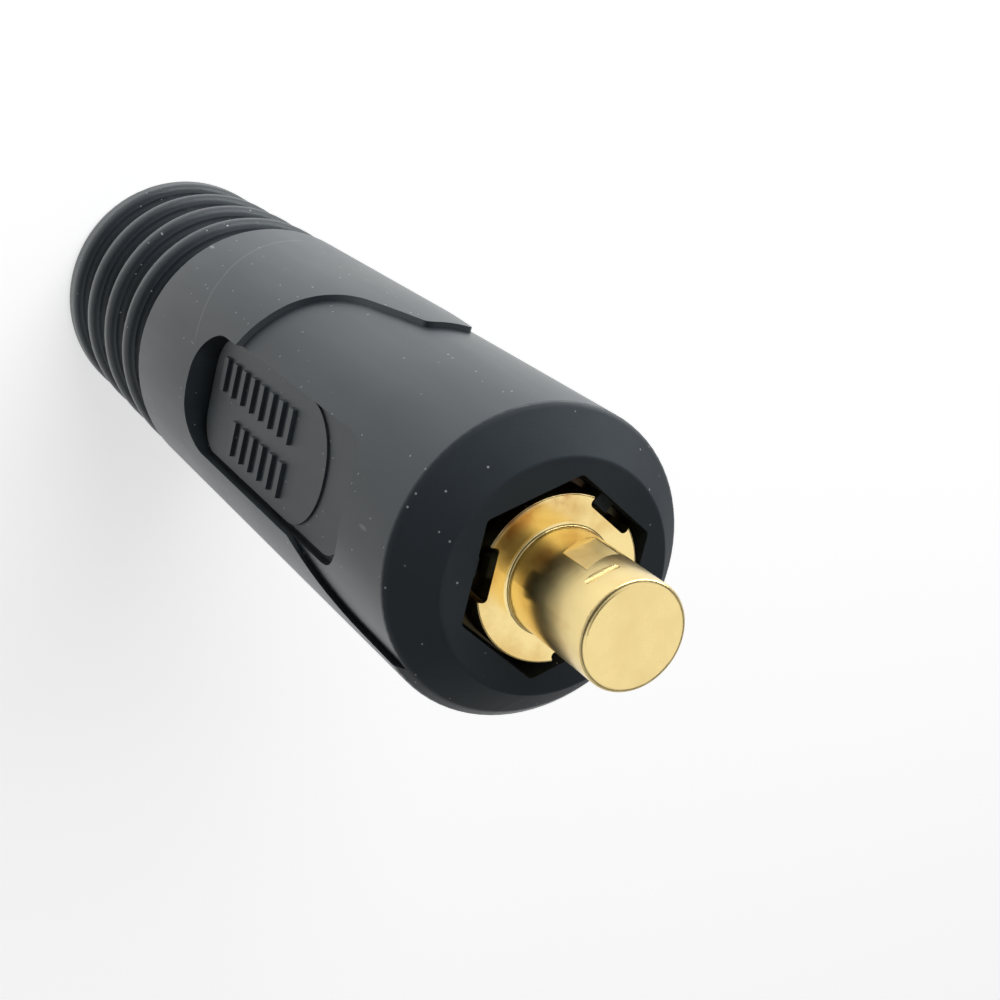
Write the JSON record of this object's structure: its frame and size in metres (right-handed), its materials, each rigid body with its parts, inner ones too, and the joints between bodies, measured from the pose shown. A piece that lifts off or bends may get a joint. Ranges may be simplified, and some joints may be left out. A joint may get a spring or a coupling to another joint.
{
  "type": "welding cable plug",
  "caption": "Round rubber cable plug with a stepped grip, recessed label pads and a ribbed bend relief round a turned brass contact with a locking pin and a screw-clamped conductor bore.",
  "frame": {"origin": "middle of the flat cable end of the sleeve, on the plug's axis", "axes": "+Z runs along the axis from the cable end to the tip of the contact pin; the two label recesses face -Y and +Y; the clamp screws point to +X"},
  "size_m": [0.0276, 0.0276, 0.1029],
  "materials": {
    "sleeve_rubber": "satin",
    "contact_brass": "polished",
    "screw_steel": "satin",
    "liner_copper": "satin"
  },
  "bodies": {
    "root": {"insulating_sleeve": "sleeve_rubber", "brass_contact": "contact_brass", "clamp_screw_rear": "screw_steel", "clamp_screw_front": "screw_steel", "copper_liner": "liner_copper"}
  },
  "joints": []
}
